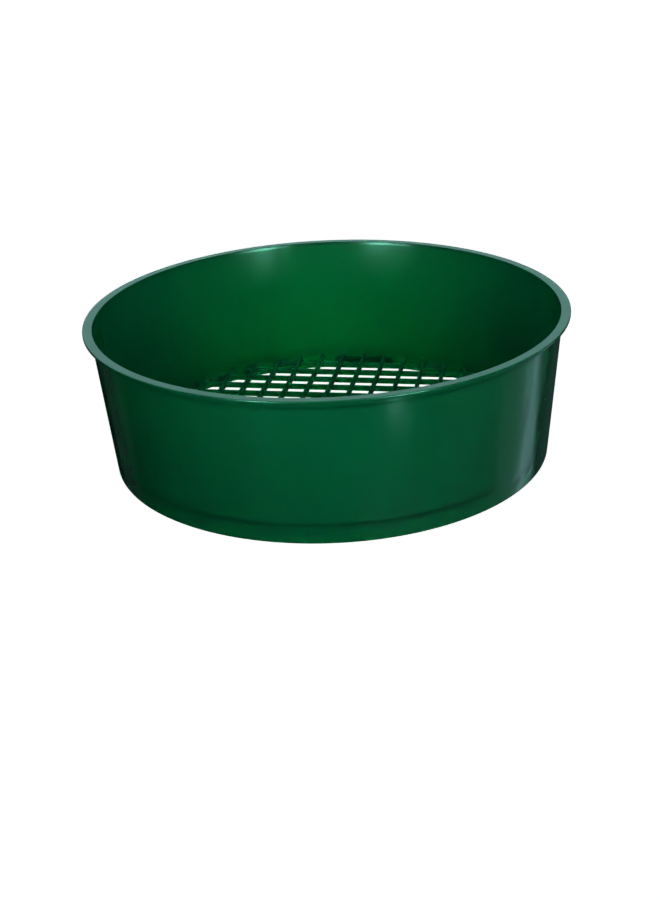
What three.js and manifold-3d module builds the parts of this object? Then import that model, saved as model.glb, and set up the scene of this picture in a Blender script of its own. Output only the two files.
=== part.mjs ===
// A round, tapered soil sieve moulded in one shot of green plastic: a thin drafted wall, a flat rim
// flange turned outwards at the top, a short foot ring at the bottom, and a flat mesh of crossed bars
// held a few millimetres above the foot. The moulding is given here as its features: the wall, the
// rim, the foot ring and every bar of the mesh is a body of its own, and they meet face to face.
// Millimetres, +Z up. The origin is the centre of the foot ring's underside, +X runs along the cross
// bars and +Y along the long bars.
import * as THREE from 'three';
import { mergeVertices } from 'three/addons/utils/BufferGeometryUtils.js';
import Module from 'manifold-3d';

const wasm = await Module();
wasm.setup();

// ---- driving dimensions -------------------------------------------------------------------------

const RIM_DIAMETER = 200;
const HEIGHT = 61;
const FLANGE_WIDTH = 4; // from the bowl's inner edge to the rim's outer edge
const FLANGE_THICKNESS = 1.2;
const WALL_TOP_THICKNESS = 1.0;
const FOOT_DIAMETER = 183.2;
const FOOT_THICKNESS = 1.5;

const CROSS_BAR_PITCH = 9.58;
const CROSS_BAR_WIDTH = 2.0;
const CROSS_BAR_HEIGHT = 2.3;
const LONG_BAR_PITCH = 10;
const LONG_BAR_WIDTH = 1.4;
const LONG_BAR_RISE = 1.0; // how far the long bars stand above the cross bars
const MESH_UNDERSIDE = 3.05; // height of the bars' lower faces above the foot

const LAND_DEPTH = 1.1; // how far a flat land stands in from the foot ring at its middle
const BAR_GAP = 0.3; // between a bar and what it runs into: the foot ring, a land or a crossing bar
const ROUND_SEGMENTS = 128; // a multiple of four, so that the lathe has points on both axes

// ---- sizes worked out from them -----------------------------------------------------------------

const RIM_RADIUS = RIM_DIAMETER / 2;
const BOWL_TOP_RADIUS = RIM_RADIUS - FLANGE_WIDTH;
const WALL_TOP_RADIUS = BOWL_TOP_RADIUS + WALL_TOP_THICKNESS;
const FOOT_RADIUS = FOOT_DIAMETER / 2;
const FOOT_INNER_RADIUS = FOOT_RADIUS - FOOT_THICKNESS;
const FLANGE_UNDERSIDE = HEIGHT - FLANGE_THICKNESS;

const CROSS_BAR_TOP = MESH_UNDERSIDE + CROSS_BAR_HEIGHT;
const MESH_TOP = CROSS_BAR_TOP + LONG_BAR_RISE;
const FOOT_RING_TOP = MESH_TOP;

// The wall is a straight cone inside and outside, so its radii follow from the height.
function innerRadius(z) {
  return THREE.MathUtils.lerp(FOOT_INNER_RADIUS, BOWL_TOP_RADIUS, z / HEIGHT);
}

function outerRadius(z) {
  return THREE.MathUtils.lerp(FOOT_RADIUS, WALL_TOP_RADIUS, z / HEIGHT);
}

const LAND_FACE = innerRadius(MESH_UNDERSIDE) - LAND_DEPTH; // from the middle to a land's flat face

// ---- materials ----------------------------------------------------------------------------------

function greenPlastic(color) {
  return new THREE.MeshStandardMaterial({ color, roughness: 0.3, metalness: 0 });
}

const wallGreen = greenPlastic(0x0a5a34);
const rimGreen = greenPlastic(0x2f7058);
const crossBarGreen = greenPlastic(0x105a3c);
const longBarGreen = greenPlastic(0x0a4a30);

// ---- geometry helpers ---------------------------------------------------------------------------

// A ring turned about Z from corners [radius, height] that run anticlockwise and close on themselves.
function turnedRing(corners) {
  const profile = [...corners, corners[0]].map(([r, z]) => new THREE.Vector2(r, z));
  return new THREE.LatheGeometry(profile, ROUND_SEGMENTS).rotateX(Math.PI / 2);
}

// A round solid whose side follows a radius function between two heights.
function turnedPlug(radiusAt, bottom, top) {
  const profile = [
    new THREE.Vector2(0, bottom),
    new THREE.Vector2(radiusAt(bottom), bottom),
    new THREE.Vector2(radiusAt(top), top),
    new THREE.Vector2(0, top),
  ];
  return new THREE.LatheGeometry(profile, ROUND_SEGMENTS).rotateX(Math.PI / 2);
}

function block(sizeX, sizeY, bottom, top, x = 0, y = 0) {
  const geometry = new THREE.BoxGeometry(sizeX, sizeY, top - bottom);
  return geometry.translate(x, y, (bottom + top) / 2);
}

function toSolid(geometry) {
  const bare = geometry.clone();
  bare.deleteAttribute('normal');
  bare.deleteAttribute('uv');
  const merged = mergeVertices(bare, 1e-4);
  return new wasm.Manifold(new wasm.Mesh({
    numProp: 3,
    vertProperties: new Float32Array(merged.attributes.position.array),
    triVerts: new Uint32Array(merged.index.array),
  }));
}

function toGeometry(solid) {
  const { numProp, vertProperties, triVerts } = solid.getMesh();
  const geometry = new THREE.BufferGeometry();
  geometry.setAttribute('position', new THREE.BufferAttribute(new Float32Array(vertProperties), numProp));
  geometry.setIndex(new THREE.BufferAttribute(new Uint32Array(triVerts), 1));
  geometry.computeVertexNormals();
  return geometry;
}

function named(name, geometry, material) {
  const mesh = new THREE.Mesh(geometry, material);
  mesh.name = name;
  return mesh;
}

// ---- the shell ----------------------------------------------------------------------------------

// The drafted wall of the bowl, from the mesh up to the level of the flange's underside.
function makeSideWall() {
  return named('side_wall', turnedRing([
    [innerRadius(FOOT_RING_TOP), FOOT_RING_TOP],
    [outerRadius(FOOT_RING_TOP), FOOT_RING_TOP],
    [outerRadius(FLANGE_UNDERSIDE), FLANGE_UNDERSIDE],
    [innerRadius(FLANGE_UNDERSIDE), FLANGE_UNDERSIDE],
  ]), wallGreen);
}

// The flat flange that turns outwards and stiffens the top edge. Its underside is divided where the
// wall's outer face meets it, so that the part standing free of the wall has faces of its own.
function makeRimFlange() {
  return named('rim_flange', turnedRing([
    [innerRadius(FLANGE_UNDERSIDE), FLANGE_UNDERSIDE],
    [outerRadius(FLANGE_UNDERSIDE), FLANGE_UNDERSIDE],
    [RIM_RADIUS, FLANGE_UNDERSIDE],
    [RIM_RADIUS, HEIGHT],
    [BOWL_TOP_RADIUS, HEIGHT],
  ]), rimGreen);
}

// The foot ring goes on round and below the mesh. Where a further bar would fall inside the wall, the
// ring has a flat land in its place, one on each of the four sides.
function makeFootRing() {
  let ring = toSolid(turnedRing([
    [FOOT_INNER_RADIUS, 0],
    [FOOT_RADIUS, 0],
    [outerRadius(FOOT_RING_TOP), FOOT_RING_TOP],
    [innerRadius(FOOT_RING_TOP), FOOT_RING_TOP],
  ]));
  const landWidth = RIM_RADIUS - LAND_FACE;
  const landMiddle = LAND_FACE + landWidth / 2;
  const wallCore = (z) => (innerRadius(z) + outerRadius(z)) / 2;
  const core = toSolid(turnedPlug(wallCore, MESH_UNDERSIDE, MESH_TOP));
  for (const side of [-1, 1]) {
    const crossLand = block(RIM_RADIUS, landWidth, MESH_UNDERSIDE, CROSS_BAR_TOP, 0, side * landMiddle);
    const longLand = block(landWidth, RIM_RADIUS, CROSS_BAR_TOP, MESH_TOP, side * landMiddle, 0);
    ring = ring.add(toSolid(crossLand).intersect(core));
    ring = ring.add(toSolid(longLand).intersect(core));
  }
  return named('foot_ring', toGeometry(ring), wallGreen);
}

// ---- the mesh -----------------------------------------------------------------------------------

// Cuts a straight bar to length, so that its ends follow the round inside of the foot ring.
function cutToBowl(bar, bottom, top) {
  const room = turnedPlug((z) => innerRadius(z) - BAR_GAP, bottom, top);
  return toSolid(bar).intersect(toSolid(room));
}

function twoDigits(number) {
  return String(number).padStart(2, '0');
}

// The cross bars lie in pairs either side of the middle, none of them on it.
function crossBarPlaces() {
  const perSide = Math.floor(LAND_FACE / CROSS_BAR_PITCH - 0.5) + 1;
  return Array.from({ length: 2 * perSide }, (_, i) => (i - perSide + 0.5) * CROSS_BAR_PITCH);
}

function makeCrossBars() {
  return crossBarPlaces().map((y, i) => {
    const bar = block(RIM_DIAMETER, CROSS_BAR_WIDTH, MESH_UNDERSIDE, CROSS_BAR_TOP, 0, y);
    const cut = toGeometry(cutToBowl(bar, MESH_UNDERSIDE, CROSS_BAR_TOP));
    return named(`cross_bar_${twoDigits(i + 1)}`, cut, crossBarGreen);
  });
}

// What the long bars are notched over: every cross bar, and the land beyond the last one.
function makeNotches() {
  const overBar = CROSS_BAR_WIDTH + 2 * BAR_GAP;
  const overLand = RIM_RADIUS - LAND_FACE + BAR_GAP;
  const notches = [
    ...crossBarPlaces().map((y) => block(RIM_DIAMETER, overBar, 0, CROSS_BAR_TOP, 0, y)),
    block(RIM_DIAMETER, overLand, 0, CROSS_BAR_TOP, 0, RIM_RADIUS - overLand / 2),
    block(RIM_DIAMETER, overLand, 0, CROSS_BAR_TOP, 0, overLand / 2 - RIM_RADIUS),
  ];
  return notches.map(toSolid).reduce((all, notch) => all.add(notch));
}

// The long bars pass over the cross bars and reach down between them to the mesh's underside. One of
// them runs through the middle.
function makeLongBars() {
  const reach = LAND_FACE - LONG_BAR_WIDTH;
  const perSide = Math.floor(reach / LONG_BAR_PITCH);
  const notches = makeNotches();
  const bars = [];
  for (let i = 0; i <= 2 * perSide; i += 1) {
    const x = (i - perSide) * LONG_BAR_PITCH;
    const bar = block(LONG_BAR_WIDTH, RIM_DIAMETER, MESH_UNDERSIDE, MESH_TOP, x, 0);
    const notched = cutToBowl(bar, MESH_UNDERSIDE, MESH_TOP).subtract(notches);
    bars.push(named(`long_bar_${twoDigits(i + 1)}`, toGeometry(notched), longBarGreen));
  }
  return bars;
}

// ---- the assembly -------------------------------------------------------------------------------

const shell = new THREE.Group();
shell.add(makeSideWall(), makeRimFlange(), makeFootRing());

const sieveMesh = new THREE.Group();
sieveMesh.add(...makeCrossBars(), ...makeLongBars());

const sieve = new THREE.Group();
sieve.add(shell, sieveMesh);

export default sieve;
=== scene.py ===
"""Finishes a moulded plastic soil sieve: smooth shell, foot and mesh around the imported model."""
import math

import bmesh
import bpy
from bpy.props import (
    FloatProperty,
    FloatVectorProperty,
    IntProperty,
    PointerProperty,
)
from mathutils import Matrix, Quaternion, Vector


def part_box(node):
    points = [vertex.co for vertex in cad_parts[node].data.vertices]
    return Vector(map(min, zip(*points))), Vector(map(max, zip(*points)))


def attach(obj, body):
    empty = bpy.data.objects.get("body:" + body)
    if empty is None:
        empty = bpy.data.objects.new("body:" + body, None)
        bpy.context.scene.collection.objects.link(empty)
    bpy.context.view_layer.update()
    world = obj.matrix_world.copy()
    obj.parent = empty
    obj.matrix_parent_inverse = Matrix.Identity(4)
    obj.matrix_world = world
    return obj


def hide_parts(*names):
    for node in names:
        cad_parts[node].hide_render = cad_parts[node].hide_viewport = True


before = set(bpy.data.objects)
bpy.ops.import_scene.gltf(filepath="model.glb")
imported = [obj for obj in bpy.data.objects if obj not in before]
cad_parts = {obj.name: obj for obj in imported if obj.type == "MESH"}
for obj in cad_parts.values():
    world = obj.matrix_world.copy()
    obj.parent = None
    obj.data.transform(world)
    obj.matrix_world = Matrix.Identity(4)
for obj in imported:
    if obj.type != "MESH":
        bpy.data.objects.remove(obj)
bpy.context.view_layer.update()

bl_info = {
    "name": "Soil sieve finisher",
    "version": (1, 0, 0),
    "blender": (4, 5, 0),
    "location": "View3D > Sidebar > Soil Sieve",
    "description": "Builds the smooth shell, foot, mesh and studio of a moulded soil sieve",
    "category": "Object",
}

MM = 0.001
SAME_POINT = 0.0001 * MM
SHELL_SHARP = 40.0  # degrees between faces from which the shell's edges stay hard
BAR_SHARP = 60.0  # the same for the mesh bars


# ---- what the frame says -----------------------------------------------------------------------

def radii_at(node, level):
    """The smallest and largest radius of a node's corners at a height, in metres."""
    near = 0.01 * MM
    corners = [v.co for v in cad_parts[node].data.vertices if abs(v.co.z - level) < near]
    radii = [math.hypot(c.x, c.y) for c in corners]
    return min(radii), max(radii)


def named_bars(stem):
    """The boxes of the mesh bars whose node names start with a stem, in order."""
    return [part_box(name) for name in sorted(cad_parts) if name.startswith(stem)]


class Shape:
    """Levels, radii and bar places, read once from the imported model."""

    foot_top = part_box("foot_ring")[1].z
    flange_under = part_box("rim_flange")[0].z
    rim_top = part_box("rim_flange")[1].z
    foot_inner, foot_outer = radii_at("foot_ring", 0.0)
    seam_inner, seam_outer = radii_at("side_wall", foot_top)
    wall_inner, wall_outer = radii_at("side_wall", flange_under)
    bowl_mouth, rim_outer = radii_at("rim_flange", rim_top)
    cross_bars = named_bars("cross_bar")
    long_bars = named_bars("long_bar")
    # the only faces of the foot ring that look squarely along -Y are those of the land at +Y
    land_face = min(face.center.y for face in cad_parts["foot_ring"].data.polygons
                    if face.normal.y < -0.9999)


def inner_radius(z):
    """The bowl's inner radius at a height: a straight cone."""
    share = z / Shape.rim_top
    return Shape.foot_inner + share * (Shape.bowl_mouth - Shape.foot_inner)


def outer_radius(z):
    """The wall's outer radius at a height: a straight cone."""
    share = z / Shape.flange_under
    return Shape.foot_outer + share * (Shape.wall_outer - Shape.foot_outer)


# ---- settings ----------------------------------------------------------------------------------

class SieveShellSettings(bpy.types.PropertyGroup):
    """Finish of the wall, rim and foot."""

    turn_steps: IntProperty(
        name="Steps round", description="Faces round the shell", default=720, min=64)
    rim_round: FloatProperty(
        name="Rim edge round", description="Radius on the flange's edges",
        default=0.35 * MM, min=0.0, unit="LENGTH")
    under_rim_fillet: FloatProperty(
        name="Fillet under rim", description="Radius between the wall and the flange's underside",
        default=1.2 * MM, min=0.0, unit="LENGTH")
    foot_round: FloatProperty(
        name="Foot edge round", description="Radius on the foot's lower edges",
        default=0.35 * MM, min=0.0, unit="LENGTH")
    sink_depth: FloatProperty(
        name="Sink mark depth", description="How far the wall sinks where a bar runs into it",
        default=0.07 * MM, min=0.0, unit="LENGTH")
    wall_colour: FloatVectorProperty(
        name="Wall green", description="Colour of the bowl", subtype="COLOR",
        size=4, default=(0.0006, 0.093, 0.035, 1.0), min=0.0, max=1.0)
    rim_colour: FloatVectorProperty(
        name="Rim green", description="Colour of the rim flange", subtype="COLOR",
        size=4, default=(0.0008, 0.090, 0.036, 1.0), min=0.0, max=1.0)


class SieveMeshSettings(bpy.types.PropertyGroup):
    """Finish of the mesh bars."""

    draft: FloatProperty(
        name="Bar draft", description="How much narrower a bar is at one of its faces",
        default=0.25 * MM, min=0.0, unit="LENGTH")
    bar_round: FloatProperty(
        name="Bar edge round", description="Radius on the bars' long edges",
        default=0.22 * MM, min=0.0, unit="LENGTH")
    fuse: FloatProperty(
        name="Fuse depth", description="How far the two layers and the wall run into each other",
        default=0.3 * MM, min=0.0, unit="LENGTH")
    warp: FloatProperty(
        name="Warp", description="How far the cooled mesh wanders up and down",
        default=0.12 * MM, min=0.0, unit="LENGTH")
    warp_seed: IntProperty(
        name="Warp seed", description="Chooses the warp's pattern", default=7, min=0)
    # the mesh green is the wall's green made lighter and bluer: a painted sheen for the bars,
    # which are the same plastic
    colour: FloatVectorProperty(
        name="Mesh green", description="Colour of the mesh bars", subtype="COLOR",
        size=4, default=(0.001, 0.125, 0.052, 1.0), min=0.0, max=1.0)


class SieveStageSettings(bpy.types.PropertyGroup):
    """Camera, floor and lights."""

    azimuth: FloatProperty(
        name="Camera azimuth", description="Turn of the camera round the sieve",
        default=math.radians(11.2), unit="ROTATION")
    elevation: FloatProperty(
        name="Camera elevation", description="Height of the camera above the horizon",
        default=math.radians(24.48), unit="ROTATION")
    roll: FloatProperty(
        name="Camera roll", description="Tilt of the camera about its own axis",
        default=math.radians(-2.79), unit="ROTATION")
    distance: FloatProperty(
        name="Camera distance", description="From the camera to the point it looks at",
        default=0.6245, min=0.1, unit="LENGTH")
    aim_side: FloatProperty(
        name="Aim sideways", description="How far left of the middle the camera looks",
        default=1.14 * MM, unit="LENGTH")
    aim_drop: FloatProperty(
        name="Aim drop", description="How far below the foot the camera looks",
        default=3.3 * MM, unit="LENGTH")
    lens: FloatProperty(
        name="Lens", description="Focal length on a 36 mm wide sensor",
        default=57.88, min=10.0)
    floor_drop: FloatProperty(
        name="Floor drop", description="How far below the held sieve the floor lies",
        default=1.5, min=0.0, unit="LENGTH")


# ---- mesh helpers ------------------------------------------------------------------------------

def arc(centre_r, centre_z, radius, start, end, steps):
    """Points of a profile arc, angles in degrees, both ends included."""
    points = []
    for i in range(steps + 1):
        angle = math.radians(start + (end - start) * i / steps)
        points.append((centre_r + radius * math.cos(angle), centre_z + radius * math.sin(angle)))
    return points


def line(start, end, steps):
    """Points strictly between two profile points, with one close to each end to hold its edge."""
    hold = 0.04
    shares = [hold] + [i / steps for i in range(1, steps)] + [1 - hold]
    return [(start[0] + (end[0] - start[0]) * s, start[1] + (end[1] - start[1]) * s)
            for s in shares]


def new_object(name, data):
    """Links a mesh, light or camera to the scene as an object."""
    item = bpy.data.objects.new(name, data)
    bpy.context.scene.collection.objects.link(item)
    return item


def shade(mesh, sharp_angle):
    """Shades a mesh smooth, save across edges sharper than an angle in degrees."""
    mesh.shade_smooth()
    mesh.set_sharp_from_angle(angle=math.radians(sharp_angle))


def close_and_shade(mesh, sharp_angle):
    """Merges doubled points, turns the faces outwards and shades the mesh."""
    work = bmesh.new()
    work.from_mesh(mesh)
    bmesh.ops.remove_doubles(work, verts=work.verts, dist=SAME_POINT)
    bmesh.ops.recalc_face_normals(work, faces=work.faces)
    work.to_mesh(mesh)
    work.free()
    shade(mesh, sharp_angle)


def turned(name, profile, steps, press=None):
    """A closed ring turned about Z from a closed profile; press moves a point's radius inwards."""
    verts = []
    for i in range(steps):
        angle = 2 * math.pi * i / steps
        for r, z in profile:
            radius = r - (press(angle, r, z) if press else 0.0)
            verts.append((radius * math.cos(angle), radius * math.sin(angle), z))
    count = len(profile)
    faces = []
    for i in range(steps):
        here = i * count
        there = ((i + 1) % steps) * count
        for j in range(count):
            k = (j + 1) % count
            faces.append((here + j, there + j, there + k, here + k))
    mesh = bpy.data.meshes.new(name)
    mesh.from_pydata(verts, [], faces)
    close_and_shade(mesh, SHELL_SHARP)
    return new_object(name, mesh)


def finish_piece(piece, slot, material, *nodes):
    """Gives a piece its material and body, and lets it stand for its CAD nodes."""
    piece.data.materials.clear()
    piece.data.materials.append(material)
    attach(piece, "root")
    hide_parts(*nodes)


# ---- sink marks --------------------------------------------------------------------------------

def sink_marks(depth):
    """A function of angle, radius and height: how far the outer wall sinks opposite the bars."""
    level = Shape.foot_top
    spread = 1.6 * MM  # how far a mark reaches above and below that level
    softness = 0.9  # how far it reaches sideways, in bar widths
    full_width = 2 * MM  # a mark wider than this is shallower in proportion
    overlap_limit = 1.3  # where marks run together they get no deeper than this share
    skin = 0.2 * MM  # only points this close to the outer face sink
    radius = outer_radius(level)
    marks = []
    for low, high in Shape.cross_bars:
        middle = (low.y + high.y) / 2
        reach = math.asin(middle / radius)
        width = (high.y - low.y) / math.cos(reach)
        marks.append((reach, width))
        marks.append((math.pi - reach, width))
    for low, high in Shape.long_bars:
        middle = (low.x + high.x) / 2
        reach = math.acos(middle / radius)
        width = (high.x - low.x) / math.sin(reach)
        marks.append((reach, width))
        marks.append((-reach, width))

    def press(angle, r, z):
        if r < outer_radius(z) - skin or z > level + 4 * spread:
            return 0.0
        fade = math.exp(-((z - level) / spread) ** 2)
        total = 0.0
        for place, width in marks:
            apart = math.remainder(angle - place, 2 * math.pi) * radius
            total += math.exp(-(apart / (softness * width)) ** 2) * min(1.0, full_width / width)
        return depth * fade * min(total, overlap_limit)

    return press


# ---- materials ---------------------------------------------------------------------------------

def green_plastic(name, colour, roughness, scuffs):
    """Glossy injection-moulded plastic with cloudy pigment, flow marks and handling scuffs."""
    material = bpy.data.materials.new(name)
    material.use_nodes = True
    nodes = material.node_tree.nodes
    links = material.node_tree.links
    nodes.clear()

    pigment_frame = nodes.new("NodeFrame")
    pigment_frame.label = "Pigment"
    gloss_frame = nodes.new("NodeFrame")
    gloss_frame.label = "Gloss and handling"
    skin_frame = nodes.new("NodeFrame")
    skin_frame.label = "Moulded skin"

    place = nodes.new("ShaderNodeTexCoord")
    place.label = "Place on the sieve"
    place.location = (-1500, 0)

    cloud = nodes.new("ShaderNodeTexNoise")
    cloud.label = "Cloudy pigment"
    cloud.location = (-1000, 500)
    cloud.parent = pigment_frame
    flow_stretch = nodes.new("ShaderNodeMapping")
    flow_stretch.label = "Stretch flow up the wall"
    flow_stretch.location = (-1250, 250)
    flow_stretch.parent = pigment_frame
    flow = nodes.new("ShaderNodeTexNoise")
    flow.label = "Flow marks"
    flow.location = (-1000, 250)
    flow.parent = pigment_frame
    blend = nodes.new("ShaderNodeMix")
    blend.label = "Pigment with flow"
    blend.location = (-780, 400)
    blend.parent = pigment_frame
    shade = nodes.new("ShaderNodeMapRange")
    shade.label = "How much the green varies"
    shade.location = (-580, 400)
    shade.parent = pigment_frame
    tone = nodes.new("ShaderNodeHueSaturation")
    tone.label = "Varied green"
    tone.location = (-380, 400)
    tone.parent = pigment_frame
    dust = nodes.new("ShaderNodeMix")
    dust.label = "Pale scuffs over green"
    dust.location = (-160, 300)
    dust.parent = pigment_frame

    scuff_noise = nodes.new("ShaderNodeTexNoise")
    scuff_noise.label = "Where it was handled"
    scuff_noise.location = (-1000, -60)
    scuff_noise.parent = gloss_frame
    scratch_stretch = nodes.new("ShaderNodeMapping")
    scratch_stretch.label = "Draw scratches out"
    scratch_stretch.location = (-1250, -320)
    scratch_stretch.parent = gloss_frame
    scratch_noise = nodes.new("ShaderNodeTexNoise")
    scratch_noise.label = "Fine scratches"
    scratch_noise.location = (-1000, -320)
    scratch_noise.parent = gloss_frame
    scuff_mask = nodes.new("ShaderNodeMapRange")
    scuff_mask.label = "Only the handled patches"
    scuff_mask.location = (-780, -60)
    scuff_mask.parent = gloss_frame
    scratch_mask = nodes.new("ShaderNodeMapRange")
    scratch_mask.label = "Only the deepest scratches"
    scratch_mask.location = (-780, -320)
    scratch_mask.parent = gloss_frame
    worn = nodes.new("ShaderNodeMath")
    worn.label = "Scratches within patches"
    worn.location = (-560, -180)
    worn.parent = gloss_frame
    pale_share = nodes.new("ShaderNodeMath")
    pale_share.label = "How pale a scuff is"
    pale_share.location = (-360, -60)
    pale_share.parent = gloss_frame
    dull = nodes.new("ShaderNodeMapRange")
    dull.label = "Roughness where worn"
    dull.location = (-360, -240)
    dull.parent = gloss_frame

    peel = nodes.new("ShaderNodeTexNoise")
    peel.label = "Faint orange peel"
    peel.location = (-1000, -620)
    peel.parent = skin_frame
    skin = nodes.new("ShaderNodeBump")
    skin.label = "Skin ripple"
    skin.location = (-560, -620)
    skin.parent = skin_frame
    wave_stretch = nodes.new("ShaderNodeMapping")
    wave_stretch.label = "Stretch waves up the wall"
    wave_stretch.location = (-1250, -880)
    wave_stretch.parent = skin_frame
    waves = nodes.new("ShaderNodeTexNoise")
    waves.label = "Shrinkage waves"
    waves.location = (-1000, -880)
    waves.parent = skin_frame
    wavy = nodes.new("ShaderNodeBump")
    wavy.label = "Wavy skin"
    wavy.location = (-780, -880)
    wavy.parent = skin_frame
    grooves = nodes.new("ShaderNodeBump")
    grooves.label = "Scratch grooves"
    grooves.location = (-300, -560)
    grooves.parent = skin_frame

    plastic = nodes.new("ShaderNodeBsdfPrincipled")
    plastic.label = "Green plastic"
    plastic.location = (100, 100)
    output = nodes.new("ShaderNodeOutputMaterial")
    output.label = "Surface"
    output.location = (420, 100)

    cloud.inputs["Scale"].default_value = 22.0
    cloud.inputs["Detail"].default_value = 3.0
    flow_stretch.inputs["Scale"].default_value = (1.0, 1.0, 0.12)
    flow.inputs["Scale"].default_value = 70.0
    flow.inputs["Detail"].default_value = 2.0
    blend.data_type = "FLOAT"
    blend.inputs[0].default_value = 0.45
    shade.inputs["From Min"].default_value = 0.3
    shade.inputs["From Max"].default_value = 0.7
    shade.inputs["To Min"].default_value = 0.9
    shade.inputs["To Max"].default_value = 1.1
    tone.inputs["Color"].default_value = colour
    dust.data_type = "RGBA"
    dust.inputs["B"].default_value = (0.12, 0.30, 0.22, 1.0)

    scuff_noise.inputs["Scale"].default_value = 35.0
    scuff_noise.inputs["Detail"].default_value = 4.0
    scuff_mask.inputs["From Min"].default_value = 0.55
    scuff_mask.inputs["From Max"].default_value = 0.75
    scratch_stretch.inputs["Rotation"].default_value = (0.4, 0.9, 0.3)
    scratch_stretch.inputs["Scale"].default_value = (1.0, 14.0, 1.0)
    scratch_noise.inputs["Scale"].default_value = 160.0
    scratch_noise.inputs["Detail"].default_value = 4.0
    scratch_mask.inputs["From Min"].default_value = 0.62
    scratch_mask.inputs["From Max"].default_value = 0.85
    worn.operation = "MULTIPLY"
    pale_share.operation = "MULTIPLY"
    pale_share.inputs[1].default_value = scuffs
    dull.inputs["To Min"].default_value = roughness
    dull.inputs["To Max"].default_value = roughness + 0.22

    peel.inputs["Scale"].default_value = 420.0
    peel.inputs["Detail"].default_value = 1.5
    skin.inputs["Strength"].default_value = 0.25
    skin.inputs["Distance"].default_value = 0.02 * MM
    wave_stretch.inputs["Scale"].default_value = (1.0, 1.0, 0.3)
    waves.inputs["Scale"].default_value = 75.0
    waves.inputs["Detail"].default_value = 1.0
    wavy.inputs["Strength"].default_value = 0.5
    wavy.inputs["Distance"].default_value = 0.8 * MM
    grooves.invert = True
    grooves.inputs["Strength"].default_value = 0.1
    grooves.inputs["Distance"].default_value = 0.01 * MM

    plastic.subsurface_method = "RANDOM_WALK"
    plastic.inputs["IOR"].default_value = 1.49
    plastic.inputs["Subsurface Weight"].default_value = 0.6
    plastic.inputs["Subsurface Radius"].default_value = (0.2, 2.0, 1.0)
    plastic.inputs["Subsurface Scale"].default_value = 4.0 * MM
    plastic.inputs["Specular IOR Level"].default_value = 0.5

    links.new(place.outputs["Object"], cloud.inputs["Vector"])
    links.new(place.outputs["Object"], flow_stretch.inputs["Vector"])
    links.new(flow_stretch.outputs["Vector"], flow.inputs["Vector"])
    links.new(cloud.outputs["Fac"], blend.inputs["A"])
    links.new(flow.outputs["Fac"], blend.inputs["B"])
    links.new(blend.outputs["Result"], shade.inputs["Value"])
    links.new(shade.outputs["Result"], tone.inputs["Value"])
    links.new(tone.outputs["Color"], dust.inputs["A"])
    links.new(place.outputs["Object"], scuff_noise.inputs["Vector"])
    links.new(place.outputs["Object"], scratch_stretch.inputs["Vector"])
    links.new(scratch_stretch.outputs["Vector"], scratch_noise.inputs["Vector"])
    links.new(scuff_noise.outputs["Fac"], scuff_mask.inputs["Value"])
    links.new(scratch_noise.outputs["Fac"], scratch_mask.inputs["Value"])
    links.new(scuff_mask.outputs["Result"], worn.inputs[0])
    links.new(scratch_mask.outputs["Result"], worn.inputs[1])
    links.new(worn.outputs["Value"], pale_share.inputs[0])
    links.new(pale_share.outputs["Value"], dust.inputs["Factor"])
    links.new(worn.outputs["Value"], dull.inputs["Value"])
    links.new(place.outputs["Object"], peel.inputs["Vector"])
    links.new(peel.outputs["Fac"], skin.inputs["Height"])
    links.new(place.outputs["Object"], wave_stretch.inputs["Vector"])
    links.new(wave_stretch.outputs["Vector"], waves.inputs["Vector"])
    links.new(waves.outputs["Fac"], wavy.inputs["Height"])
    links.new(wavy.outputs["Normal"], skin.inputs["Normal"])
    links.new(worn.outputs["Value"], grooves.inputs["Height"])
    links.new(skin.outputs["Normal"], grooves.inputs["Normal"])
    links.new(dust.outputs["Result"], plastic.inputs["Base Color"])
    links.new(dull.outputs["Result"], plastic.inputs["Roughness"])
    links.new(grooves.outputs["Normal"], plastic.inputs["Normal"])
    links.new(plastic.outputs["BSDF"], output.inputs["Surface"])
    return material


def pale_floor():
    """Plain bright white studio floor."""
    material = bpy.data.materials.new("studio_floor")
    material.use_nodes = True
    nodes = material.node_tree.nodes
    links = material.node_tree.links
    nodes.clear()

    paint = nodes.new("ShaderNodeBsdfPrincipled")
    paint.label = "Painted white floor"
    paint.location = (0, 0)
    output = nodes.new("ShaderNodeOutputMaterial")
    output.label = "Surface"
    output.location = (320, 0)

    paint.inputs["Base Color"].default_value = (0.93, 0.935, 0.94, 1.0)
    paint.inputs["Roughness"].default_value = 0.9
    paint.inputs["Emission Color"].default_value = (1.0, 1.0, 1.0, 1.0)
    paint.inputs["Emission Strength"].default_value = 1.0

    links.new(paint.outputs["BSDF"], output.inputs["Surface"])
    return material


# ---- geometry nodes: the mesh bars -------------------------------------------------------------

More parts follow.
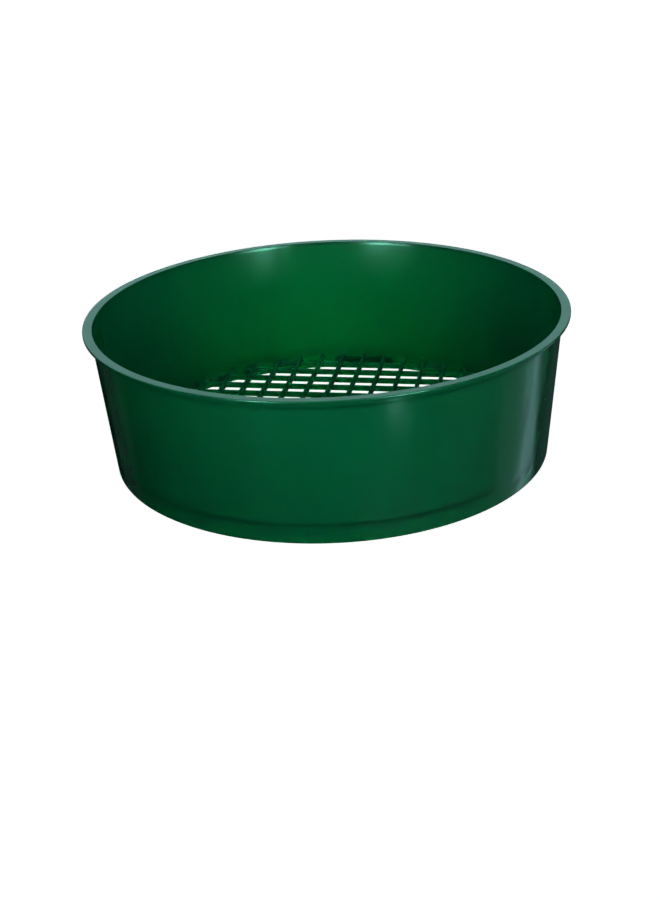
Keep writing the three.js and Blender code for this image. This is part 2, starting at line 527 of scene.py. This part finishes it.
def bar_layer_tree():
    """One layer of parallel bars cut to a round bowl, as a node tree with named sizes."""
    tree = bpy.data.node_groups.new("sieve_bar_layer", "GeometryNodeTree")
    sockets = tree.interface
    sockets.new_socket("Layer", in_out="OUTPUT", socket_type="NodeSocketGeometry")
    sockets.new_socket("Bars", in_out="INPUT", socket_type="NodeSocketInt")
    for label in ("Pitch", "Upper face", "Lower face", "Height", "Edge round",
                  "Bowl radius", "Middle level", "Turn", "Warp", "Seed"):
        sockets.new_socket(label, in_out="INPUT", socket_type="NodeSocketFloat")
    sockets.new_socket("Plastic", in_out="INPUT", socket_type="NodeSocketMaterial")
    nodes = tree.nodes
    links = tree.links

    sizes = nodes.new("NodeGroupInput")
    sizes.label = "Sizes"
    sizes.location = (-1500, 0)
    result = nodes.new("NodeGroupOutput")
    result.label = "Finished layer"
    result.location = (1900, 0)

    place_frame = nodes.new("NodeFrame")
    place_frame.label = "Where each bar lies"
    length_frame = nodes.new("NodeFrame")
    length_frame.label = "How long each bar is"
    bar_frame = nodes.new("NodeFrame")
    bar_frame.label = "Bars swept along their lines"
    layer_frame = nodes.new("NodeFrame")
    layer_frame.label = "The layer turned and warped"

    gaps = nodes.new("ShaderNodeMath")
    gaps.label = "Gaps between bars"
    gaps.location = (-1250, 300)
    half = nodes.new("ShaderNodeMath")
    half.label = "Half a pitch, backwards"
    half.location = (-1250, 120)
    span = nodes.new("ShaderNodeMath")
    span.label = "Half the layer's width"
    span.location = (-1050, 300)
    first = nodes.new("ShaderNodeCombineXYZ")
    first.label = "First bar"
    first.location = (-850, 300)
    step = nodes.new("ShaderNodeCombineXYZ")
    step.label = "Step to the next bar"
    step.location = (-850, 150)
    row = nodes.new("GeometryNodeMeshLine")
    row.label = "A point for each bar"
    row.location = (-650, 250)

    spot = nodes.new("GeometryNodeInputPosition")
    spot.label = "Bar's place"
    spot.location = (-1050, -150)
    split = nodes.new("ShaderNodeSeparateXYZ")
    split.label = "Offset from the middle"
    split.location = (-850, -150)
    offset_sq = nodes.new("ShaderNodeMath")
    offset_sq.label = "Offset squared"
    offset_sq.location = (-650, -150)
    bowl_sq = nodes.new("ShaderNodeMath")
    bowl_sq.label = "Bowl radius squared"
    bowl_sq.location = (-650, -320)
    chord_sq = nodes.new("ShaderNodeMath")
    chord_sq.label = "Half chord squared"
    chord_sq.location = (-450, -220)
    chord = nodes.new("ShaderNodeMath")
    chord.label = "Half chord"
    chord.location = (-250, -220)
    stretch = nodes.new("ShaderNodeCombineXYZ")
    stretch.label = "Stretch to the chord"
    stretch.location = (-50, -220)

    spine = nodes.new("GeometryNodeCurvePrimitiveLine")
    spine.label = "Bar of unit half length"
    spine.location = (-650, 500)
    fine = nodes.new("GeometryNodeResampleCurve")
    fine.label = "Short stretches"
    fine.location = (-450, 500)
    laid = nodes.new("GeometryNodeInstanceOnPoints")
    laid.label = "Lay the bars"
    laid.location = (150, 250)
    loose = nodes.new("GeometryNodeRealizeInstances")
    loose.label = "Real bar lines"
    loose.location = (350, 250)
    upright = nodes.new("GeometryNodeSetCurveNormal")
    upright.label = "Keep the section upright"
    upright.location = (550, 250)
    section = nodes.new("GeometryNodeCurvePrimitiveQuadrilateral")
    section.label = "Drafted section"
    section.location = (150, -100)
    rounded = nodes.new("GeometryNodeFilletCurve")
    rounded.label = "Rounded edges"
    rounded.location = (350, -100)
    swept = nodes.new("GeometryNodeCurveToMesh")
    swept.label = "Bars"
    swept.location = (750, 200)

    turn = nodes.new("ShaderNodeCombineXYZ")
    turn.label = "Turn about the bowl's axis"
    turn.location = (750, -100)
    turned_layer = nodes.new("GeometryNodeTransform")
    turned_layer.label = "Turn the layer"
    turned_layer.location = (950, 200)
    where = nodes.new("GeometryNodeInputPosition")
    where.label = "Point on the mesh"
    where.location = (750, -300)
    flat = nodes.new("ShaderNodeVectorMath")
    flat.label = "Ignore height"
    flat.location = (950, -300)
    ripple = nodes.new("ShaderNodeTexNoise")
    ripple.label = "Cooling warp"
    ripple.location = (1130, -300)
    centred = nodes.new("ShaderNodeMath")
    centred.label = "Up and down"
    centred.location = (1300, -300)
    lift = nodes.new("ShaderNodeMath")
    lift.label = "Warp height"
    lift.location = (1300, -120)
    nudge = nodes.new("ShaderNodeCombineXYZ")
    nudge.label = "Lift"
    nudge.location = (1450, -120)
    warped = nodes.new("GeometryNodeSetPosition")
    warped.label = "Warp the layer"
    warped.location = (1300, 200)
    real = nodes.new("GeometryNodeRealizeInstances")
    real.label = "Plain mesh"
    real.location = (1500, 200)
    coat = nodes.new("GeometryNodeSetMaterial")
    coat.label = "Green plastic"
    coat.location = (1700, 100)

    for node in (gaps, half, span, first, step, row):
        node.parent = place_frame
    for node in (spot, split, offset_sq, bowl_sq, chord_sq, chord, stretch):
        node.parent = length_frame
    for node in (spine, fine, laid, loose, upright, section, rounded, swept):
        node.parent = bar_frame
    for node in (turn, turned_layer, where, flat, ripple, centred, lift, nudge, warped):
        node.parent = layer_frame

    gaps.operation = "SUBTRACT"
    gaps.inputs[1].default_value = 1.0
    half.operation = "MULTIPLY"
    half.inputs[1].default_value = -0.5
    span.operation = "MULTIPLY"
    row.mode = "OFFSET"
    offset_sq.operation = "POWER"
    offset_sq.inputs[1].default_value = 2.0
    bowl_sq.operation = "POWER"
    bowl_sq.inputs[1].default_value = 2.0
    chord_sq.operation = "SUBTRACT"
    chord.operation = "SQRT"
    stretch.inputs["Y"].default_value = 1.0
    stretch.inputs["Z"].default_value = 1.0
    spine.inputs["Start"].default_value = (-1.0, 0.0, 0.0)
    spine.inputs["End"].default_value = (1.0, 0.0, 0.0)
    fine.inputs["Count"].default_value = 49
    upright.mode = "Z_UP"
    section.mode = "TRAPEZOID"
    section.inputs["Offset"].default_value = 0.0
    rounded.mode = "POLY"
    rounded.inputs["Count"].default_value = 3
    rounded.inputs["Limit Radius"].default_value = True
    swept.inputs["Fill Caps"].default_value = True
    flat.operation = "MULTIPLY"
    flat.inputs[1].default_value = (1.0, 1.0, 0.0)
    ripple.noise_dimensions = "4D"
    ripple.inputs["Scale"].default_value = 9.0
    ripple.inputs["Detail"].default_value = 1.0
    centred.operation = "SUBTRACT"
    centred.inputs[1].default_value = 0.5
    lift.operation = "MULTIPLY"

    links.new(sizes.outputs["Bars"], gaps.inputs[0])
    links.new(sizes.outputs["Pitch"], half.inputs[0])
    links.new(gaps.outputs["Value"], span.inputs[0])
    links.new(half.outputs["Value"], span.inputs[1])
    links.new(span.outputs["Value"], first.inputs["Y"])
    links.new(sizes.outputs["Middle level"], first.inputs["Z"])
    links.new(sizes.outputs["Pitch"], step.inputs["Y"])
    links.new(first.outputs["Vector"], row.inputs["Start Location"])
    links.new(step.outputs["Vector"], row.inputs["Offset"])
    links.new(sizes.outputs["Bars"], row.inputs["Count"])
    links.new(spot.outputs["Position"], split.inputs["Vector"])
    links.new(split.outputs["Y"], offset_sq.inputs[0])
    links.new(sizes.outputs["Bowl radius"], bowl_sq.inputs[0])
    links.new(bowl_sq.outputs["Value"], chord_sq.inputs[0])
    links.new(offset_sq.outputs["Value"], chord_sq.inputs[1])
    links.new(chord_sq.outputs["Value"], chord.inputs[0])
    links.new(chord.outputs["Value"], stretch.inputs["X"])
    links.new(spine.outputs["Curve"], fine.inputs["Curve"])
    links.new(fine.outputs["Curve"], laid.inputs["Instance"])
    links.new(row.outputs["Mesh"], laid.inputs["Points"])
    links.new(stretch.outputs["Vector"], laid.inputs["Scale"])
    links.new(laid.outputs["Instances"], loose.inputs["Geometry"])
    links.new(loose.outputs["Geometry"], upright.inputs["Curve"])
    links.new(upright.outputs["Curve"], swept.inputs["Curve"])
    # a swept section comes out upside down, so its bottom is a bar's upper face
    links.new(sizes.outputs["Upper face"], section.inputs["Bottom Width"])
    links.new(sizes.outputs["Lower face"], section.inputs["Top Width"])
    links.new(sizes.outputs["Height"], section.inputs["Height"])
    links.new(section.outputs["Curve"], rounded.inputs["Curve"])
    links.new(sizes.outputs["Edge round"], rounded.inputs["Radius"])
    links.new(rounded.outputs["Curve"], swept.inputs["Profile Curve"])
    links.new(sizes.outputs["Turn"], turn.inputs["Z"])
    links.new(swept.outputs["Mesh"], turned_layer.inputs["Geometry"])
    links.new(turn.outputs["Vector"], turned_layer.inputs["Rotation"])
    links.new(where.outputs["Position"], flat.inputs[0])
    links.new(flat.outputs["Vector"], ripple.inputs["Vector"])
    links.new(sizes.outputs["Seed"], ripple.inputs["W"])
    links.new(ripple.outputs["Fac"], centred.inputs[0])
    links.new(centred.outputs["Value"], lift.inputs[0])
    links.new(sizes.outputs["Warp"], lift.inputs[1])
    links.new(lift.outputs["Value"], nudge.inputs["Z"])
    links.new(turned_layer.outputs["Geometry"], warped.inputs["Geometry"])
    links.new(nudge.outputs["Vector"], warped.inputs["Offset"])
    links.new(warped.outputs["Geometry"], real.inputs["Geometry"])
    links.new(real.outputs["Geometry"], coat.inputs["Geometry"])
    links.new(sizes.outputs["Plastic"], coat.inputs["Material"])
    links.new(coat.outputs["Geometry"], result.inputs["Layer"])
    return tree


def grow(name, tree, values):
    """Runs a node tree on an empty carrier and keeps its result as a plain mesh."""
    carrier = new_object(name + "_carrier", bpy.data.meshes.new(name + "_carrier"))
    modifier = carrier.modifiers.new("grow", "NODES")
    modifier.node_group = tree
    for item in tree.interface.items_tree:
        if item.in_out == "INPUT":
            modifier[item.identifier] = values[item.name]
    ready = carrier.evaluated_get(bpy.context.evaluated_depsgraph_get())
    mesh = bpy.data.meshes.new_from_object(ready)
    mesh.name = name
    bpy.data.objects.remove(carrier)
    close_and_shade(mesh, BAR_SHARP)
    return new_object(name, mesh)


# ---- operators ---------------------------------------------------------------------------------

class SIEVE_OT_wall(bpy.types.Operator):
    """Build the drafted wall of the bowl"""

    bl_idname = "sieve.wall"
    bl_label = "Wall"

    def execute(self, context):
        shell = context.scene.sieve_shell
        bottom = Shape.foot_top
        top = Shape.flange_under
        fillet = shell.under_rim_fillet
        fillet_start = (outer_radius(top - fillet), top - fillet)
        flare = arc(fillet_start[0] + fillet, top - fillet, fillet, 180, 90, steps=6)
        outside_low = (Shape.seam_outer, bottom)
        inside_low = (Shape.seam_inner, bottom)
        inside_top = (Shape.wall_inner, top)
        profile = [outside_low, *line(outside_low, fillet_start, steps=48), *flare]
        profile += [inside_top, *line(inside_top, inside_low, steps=12), inside_low]
        press = sink_marks(shell.sink_depth)
        piece = turned("bowl_wall", profile, shell.turn_steps, press)
        plastic = green_plastic("wall_green", shell.wall_colour, roughness=0.19, scuffs=0.05)
        finish_piece(piece, "wall_plastic", plastic, "side_wall")
        return {"FINISHED"}


class SIEVE_OT_rim(bpy.types.Operator):
    """Build the flat flange round the top"""

    bl_idname = "sieve.rim"
    bl_label = "Rim flange"

    def execute(self, context):
        shell = context.scene.sieve_shell
        bend = shell.rim_round
        top = Shape.rim_top
        under = Shape.flange_under
        outer = Shape.rim_outer
        mouth = Shape.bowl_mouth
        outer_low = arc(outer - bend, under + bend, bend, -90, 0, steps=6)
        outer_high = arc(outer - bend, top - bend, bend, 0, 90, steps=6)
        mouth_edge = arc(mouth + bend, top - bend, bend, 90, 180, steps=8)
        inside_low = (Shape.wall_inner, under)
        profile = [inside_low, *line(inside_low, outer_low[0], steps=3), *outer_low]
        profile += [*outer_high, *line(outer_high[-1], mouth_edge[0], steps=3), *mouth_edge]
        piece = turned("top_flange", profile, shell.turn_steps)
        plastic = green_plastic("rim_green", shell.rim_colour, roughness=0.22, scuffs=0.08)
        finish_piece(piece, "rim_plastic", plastic, "rim_flange")
        return {"FINISHED"}


class SIEVE_OT_foot(bpy.types.Operator):
    """Build the foot ring with its four flat lands"""

    bl_idname = "sieve.foot"
    bl_label = "Foot ring"

    def execute(self, context):
        shell = context.scene.sieve_shell
        bend = shell.foot_round
        top = Shape.foot_top
        inside = Shape.foot_inner
        outside = Shape.foot_outer
        lower_in = arc(inside + bend, bend, bend, 180, 270, steps=6)
        lower_out = arc(outside - bend, bend, bend, 270, 360, steps=6)
        outside_top = (Shape.seam_outer, top)
        inside_top = (Shape.seam_inner, top)
        outer_side = line(lower_out[-1], outside_top, steps=14)
        inner_side = line(inside_top, lower_in[0], steps=8)
        profile = [*lower_in, *lower_out, *outer_side, outside_top, inside_top, *inner_side]
        press = sink_marks(shell.sink_depth)
        piece = turned("foot", profile, shell.turn_steps, press)
        self.add_lands(piece.data)
        plastic = bpy.data.materials["wall_green"]
        finish_piece(piece, "wall_plastic", plastic, "foot_ring")
        return {"FINISHED"}

    def add_lands(self, mesh):
        """Adds the flat lands, each a slab let into the ring where a further bar would lie."""
        cross_low, cross_high = Shape.cross_bars[0]
        long_low, long_high = Shape.long_bars[0]
        depth = 1.15 * MM
        reach = math.sqrt(inner_radius(cross_low.z) ** 2 - Shape.land_face ** 2)
        work = bmesh.new()
        work.from_mesh(mesh)
        for quarter in range(4):
            low, high = (long_low, long_high) if quarter % 2 == 0 else (cross_low, cross_high)
            slab = bmesh.ops.create_cube(work, size=1.0)["verts"]
            bmesh.ops.scale(work, verts=slab, vec=(depth, 2 * reach, high.z - low.z))
            middle = (Shape.land_face + depth / 2, 0.0, (low.z + high.z) / 2)
            bmesh.ops.translate(work, verts=slab, vec=middle)
            turn = Quaternion((0, 0, 1), quarter * math.pi / 2).to_matrix()
            bmesh.ops.rotate(work, verts=slab, matrix=turn)
        work.to_mesh(mesh)
        work.free()
        shade(mesh, SHELL_SHARP)


class SIEVE_OT_mesh(bpy.types.Operator):
    """Build the two layers of mesh bars"""

    bl_idname = "sieve.mesh"
    bl_label = "Mesh bars"

    def execute(self, context):
        look = context.scene.sieve_mesh
        tree = bar_layer_tree()
        # the bars get the lighter, bluer green: painted sheen over the wall's plastic colour
        plastic = green_plastic("mesh_green_painted_sheen", look.colour, roughness=0.28, scuffs=0.04)
        cross_low, cross_high = Shape.cross_bars[0]
        long_low, long_high = Shape.long_bars[0]
        cross_pitch = Shape.cross_bars[1][0].y - cross_low.y
        long_pitch = Shape.long_bars[1][0].x - long_low.x
        common = {
            "Edge round": look.bar_round,
            "Bowl radius": inner_radius(cross_low.z) + look.fuse,
            "Warp": look.warp,
            "Seed": float(look.warp_seed),
            "Plastic": plastic,
        }
        cross_width = cross_high.y - cross_low.y
        cross = grow("cross_bars", tree, {
            **common,
            "Bars": len(Shape.cross_bars),
            "Pitch": cross_pitch,
            "Upper face": cross_width - look.draft,
            "Lower face": cross_width,
            "Height": cross_high.z - cross_low.z,
            "Middle level": (cross_low.z + cross_high.z) / 2,
            "Turn": 0.0,
        })
        long_width = long_high.x - long_low.x
        # a hair higher than the cross bars, so that the two layers' lower faces don't coincide
        long_base = long_low.z + 0.05 * MM
        along = grow("long_bars", tree, {
            **common,
            "Bars": len(Shape.long_bars),
            "Pitch": long_pitch,
            "Upper face": long_width,
            "Lower face": long_width - look.draft,
            "Height": long_high.z - long_base,
            "Middle level": (long_base + long_high.z) / 2,
            "Turn": math.pi / 2,
        })
        cross_nodes = [n for n in sorted(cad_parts) if n.startswith("cross_bar")]
        long_nodes = [n for n in sorted(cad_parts) if n.startswith("long_bar")]
        finish_piece(cross, "mesh_plastic", plastic, *cross_nodes)
        finish_piece(along, "mesh_plastic", plastic, *long_nodes)
        return {"FINISHED"}


class SIEVE_OT_stage(bpy.types.Operator):
    """Set up the camera, floor and soft lights"""

    bl_idname = "sieve.stage"
    bl_label = "Studio"

    def execute(self, context):
        stage = context.scene.sieve_stage
        context.scene.view_settings.view_transform = "Standard"
        self.add_camera(context, stage)
        self.add_floor(stage)
        self.add_lights(stage)
        self.add_world(context)
        return {"FINISHED"}

    def add_camera(self, context, stage):
        """Aims the camera just below the foot, with the tilt of a hand-held shot."""
        side = Vector((math.cos(stage.azimuth), math.sin(stage.azimuth), 0.0))
        aim = -stage.aim_side * side - Vector((0.0, 0.0, stage.aim_drop))
        back = Vector((
            math.sin(stage.azimuth) * math.cos(stage.elevation),
            -math.cos(stage.azimuth) * math.cos(stage.elevation),
            math.sin(stage.elevation)))
        camera = new_object("camera", bpy.data.cameras.new("camera"))
        camera.data.lens = stage.lens
        camera.data.clip_start = 0.01
        camera.data.clip_end = 100.0
        camera.location = aim + stage.distance * back
        camera.rotation_mode = "QUATERNION"
        tilt = Quaternion((0, 0, 1), stage.roll)
        camera.rotation_quaternion = (-back).to_track_quat("-Z", "Y") @ tilt
        context.scene.camera = camera

    def add_floor(self, stage):
        """Lays a wide pale floor well below, because the sieve is held in the air."""
        bpy.ops.mesh.primitive_plane_add(size=40.0, location=(0.0, 0.0, -stage.floor_drop))
        floor = bpy.context.object
        floor.name = "floor"
        floor.data.materials.append(pale_floor())
        floor.visible_glossy = False
        floor.visible_diffuse = False

    def add_lights(self, stage):
        """Adds the softboxes, all turned to the middle of the bowl.

        A bearing is in degrees to the right of the camera, an elevation in degrees above the
        horizon, lengths are in metres and powers in watts. Diffuse boxes light the plastic, and
        glossy ones are only seen mirrored in it.
        """
        bowl_middle = Vector((0.0, 0.0, 30 * MM))
        white = (0.93, 0.98, 1.0)
        mint = (0.28, 1.0, 0.72)
        aqua = (0.35, 1.0, 0.93)
        cool = (0.50, 0.95, 1.0)
        sky = (0.51, 1.0, 0.96)
        boxes = (
            # name, bearing, elevation, distance, width, height, power, colour, seen by
            ("key_near", -6.0, 20.0, 0.27, 0.10, 0.05, 0.18, white, "diffuse"),
            ("key_right", 38.0, 18.0, 0.32, 0.10, 0.05, 0.155, white, "diffuse"),
            ("key_far", -3.0, 12.0, 1.4, 0.8, 0.3, 4.0, white, "diffuse"),
            ("over_bowl", 0.0, 70.0, 0.9, 0.30, 0.20, 1.5, white, "diffuse"),
            ("glow_behind", 180.0, -42.0, 0.25, 0.10, 0.06, 0.38, white, "diffuse"),
            ("soft_right", 32.0, 2.5, 1.3, 0.30, 0.20, 21.0, mint, "glossy"),
            ("soft_left", -32.0, 2.5, 1.3, 0.30, 0.20, 21.0, mint, "glossy"),
            ("glint_right", 24.2, -12.6, 0.224, 0.025, 0.02, 0.004, aqua, "glossy"),
            ("glint_low", 25.3, -30.0, 0.289, 0.15, 0.03, 0.0018, cool, "glossy"),
            ("edge_low", 20.0, -70.0, 1.2, 1.0, 0.5, 0.8, cool, "glossy"),
            ("panel_behind", 180.0, 25.0, 1.5, 1.8, 0.7, 4.4, sky, "glossy"),
            ("panel_right", 81.0, -28.0, 1.0, 0.80, 0.70, 0.13, cool, "glossy"),
            ("panel_mid", 104.0, -28.0, 1.0, 0.40, 0.70, 0.14, cool, "glossy"),
            ("strip_right", 116.0, -28.0, 1.0, 0.20, 0.70, 0.42, cool, "glossy"),
            ("edge_right", 146.0, -28.0, 1.0, 0.30, 0.70, 0.033, cool, "glossy"),
            ("panel_left", -132.0, -28.0, 1.0, 0.40, 0.70, 0.03, cool, "glossy"),
        )
        for name, bearing, elevation, distance, width, height, power, colour, seen in boxes:
            data = bpy.data.lights.new(name, "AREA")
            data.shape = "RECTANGLE"
            data.size = width
            data.size_y = height
            data.energy = power
            data.color = colour
            light = new_object(name, data)
            light.visible_camera = False
            light.visible_diffuse = seen == "diffuse"
            light.visible_transmission = seen == "diffuse"
            light.visible_glossy = seen == "glossy"
            turn = stage.azimuth + math.radians(bearing)
            lift = math.radians(elevation)
            out = Vector((
                math.sin(turn) * math.cos(lift),
                -math.cos(turn) * math.cos(lift),
                math.sin(lift)))
            light.location = out * distance + bowl_middle
            light.rotation_mode = "QUATERNION"
            light.rotation_quaternion = out.to_track_quat("Z", "Y")

    def add_world(self, context):
        """White to look at, and a soft dim dome to be lit by."""
        world = bpy.data.worlds.new("studio")
        world.use_nodes = True
        context.scene.world = world
        nodes = world.node_tree.nodes
        links = world.node_tree.links
        nodes.clear()

        dome_frame = nodes.new("NodeFrame")
        dome_frame.label = "Soft dome"
        view_frame = nodes.new("NodeFrame")
        view_frame.label = "What the camera sees"

        place = nodes.new("ShaderNodeTexCoord")
        place.label = "Direction"
        place.location = (-900, 0)
        parts = nodes.new("ShaderNodeSeparateXYZ")
        parts.label = "Height in the sky"
        parts.location = (-700, 0)
        rise = nodes.new("ShaderNodeMapRange")
        rise.label = "Dim below, bright above"
        rise.location = (-500, 0)
        dome = nodes.new("ShaderNodeBackground")
        dome.label = "Soft dome"
        dome.location = (-250, 0)
        white = nodes.new("ShaderNodeBackground")
        white.label = "White backdrop"
        white.location = (-250, -160)
        path = nodes.new("ShaderNodeLightPath")
        path.label = "Seen directly"
        path.location = (-500, 320)
        hush = nodes.new("ShaderNodeMath")
        hush.label = "Keep the dome out of reflections"
        hush.location = (-400, -120)
        shown = nodes.new("ShaderNodeMath")
        shown.label = "Dome for soft light only"
        shown.location = (-400, 60)
        choose = nodes.new("ShaderNodeMixShader")
        choose.label = "Dome or backdrop"
        choose.location = (0, 0)
        output = nodes.new("ShaderNodeOutputWorld")
        output.label = "World"
        output.location = (220, 0)

        for node in (place, parts, rise, hush, shown, dome):
            node.parent = dome_frame
        for node in (path, white, choose):
            node.parent = view_frame

        rise.interpolation_type = "SMOOTHSTEP"
        rise.inputs["From Min"].default_value = -0.15
        rise.inputs["From Max"].default_value = 0.45
        rise.inputs["To Min"].default_value = 0.02
        rise.inputs["To Max"].default_value = 0.05
        hush.operation = "SUBTRACT"
        hush.inputs[0].default_value = 1.0
        shown.operation = "MULTIPLY"
        dome.inputs["Color"].default_value = (0.72, 0.92, 1.0, 1.0)
        white.inputs["Color"].default_value = (1.0, 1.0, 1.0, 1.0)

        links.new(place.outputs["Generated"], parts.inputs["Vector"])
        links.new(parts.outputs["Z"], rise.inputs["Value"])
        links.new(path.outputs["Is Glossy Ray"], hush.inputs[1])
        links.new(rise.outputs["Result"], shown.inputs[0])
        links.new(hush.outputs["Value"], shown.inputs[1])
        links.new(shown.outputs["Value"], dome.inputs["Strength"])
        links.new(path.outputs["Is Camera Ray"], choose.inputs["Fac"])
        links.new(dome.outputs["Background"], choose.inputs[1])
        links.new(white.outputs["Background"], choose.inputs[2])
        links.new(choose.outputs["Shader"], output.inputs["Surface"])


class SIEVE_PT_panel(bpy.types.Panel):
    """Lists the steps that build the sieve"""

    bl_idname = "SIEVE_PT_panel"
    bl_label = "Soil sieve"
    bl_space_type = "VIEW_3D"
    bl_region_type = "UI"
    bl_category = "Soil Sieve"

    def draw(self, context):
        for settings in (context.scene.sieve_shell, context.scene.sieve_mesh,
                         context.scene.sieve_stage):
            box = self.layout.box()
            for name in settings.__annotations__:
                box.prop(settings, name)
        for operator in BUILD_ORDER:
            self.layout.operator(operator.bl_idname)


BUILD_ORDER = (SIEVE_OT_stage, SIEVE_OT_wall, SIEVE_OT_rim, SIEVE_OT_foot, SIEVE_OT_mesh)
SETTINGS = {
    "sieve_shell": SieveShellSettings,
    "sieve_mesh": SieveMeshSettings,
    "sieve_stage": SieveStageSettings,
}
CLASSES = (*SETTINGS.values(), *BUILD_ORDER, SIEVE_PT_panel)


def register():
    """Adds the classes and their settings."""
    for cls in CLASSES:
        bpy.utils.register_class(cls)
    for name, group in SETTINGS.items():
        setattr(bpy.types.Scene, name, PointerProperty(type=group))


def unregister():
    """Takes the settings and classes away again."""
    for name in SETTINGS:
        delattr(bpy.types.Scene, name)
    for cls in reversed(CLASSES):
        bpy.utils.unregister_class(cls)


def main():
    """Builds the stage and the sieve."""
    register()
    bpy.ops.sieve.stage()
    bpy.ops.sieve.wall()
    bpy.ops.sieve.rim()
    bpy.ops.sieve.foot()
    bpy.ops.sieve.mesh()


if __name__ == "__main__":
    main()
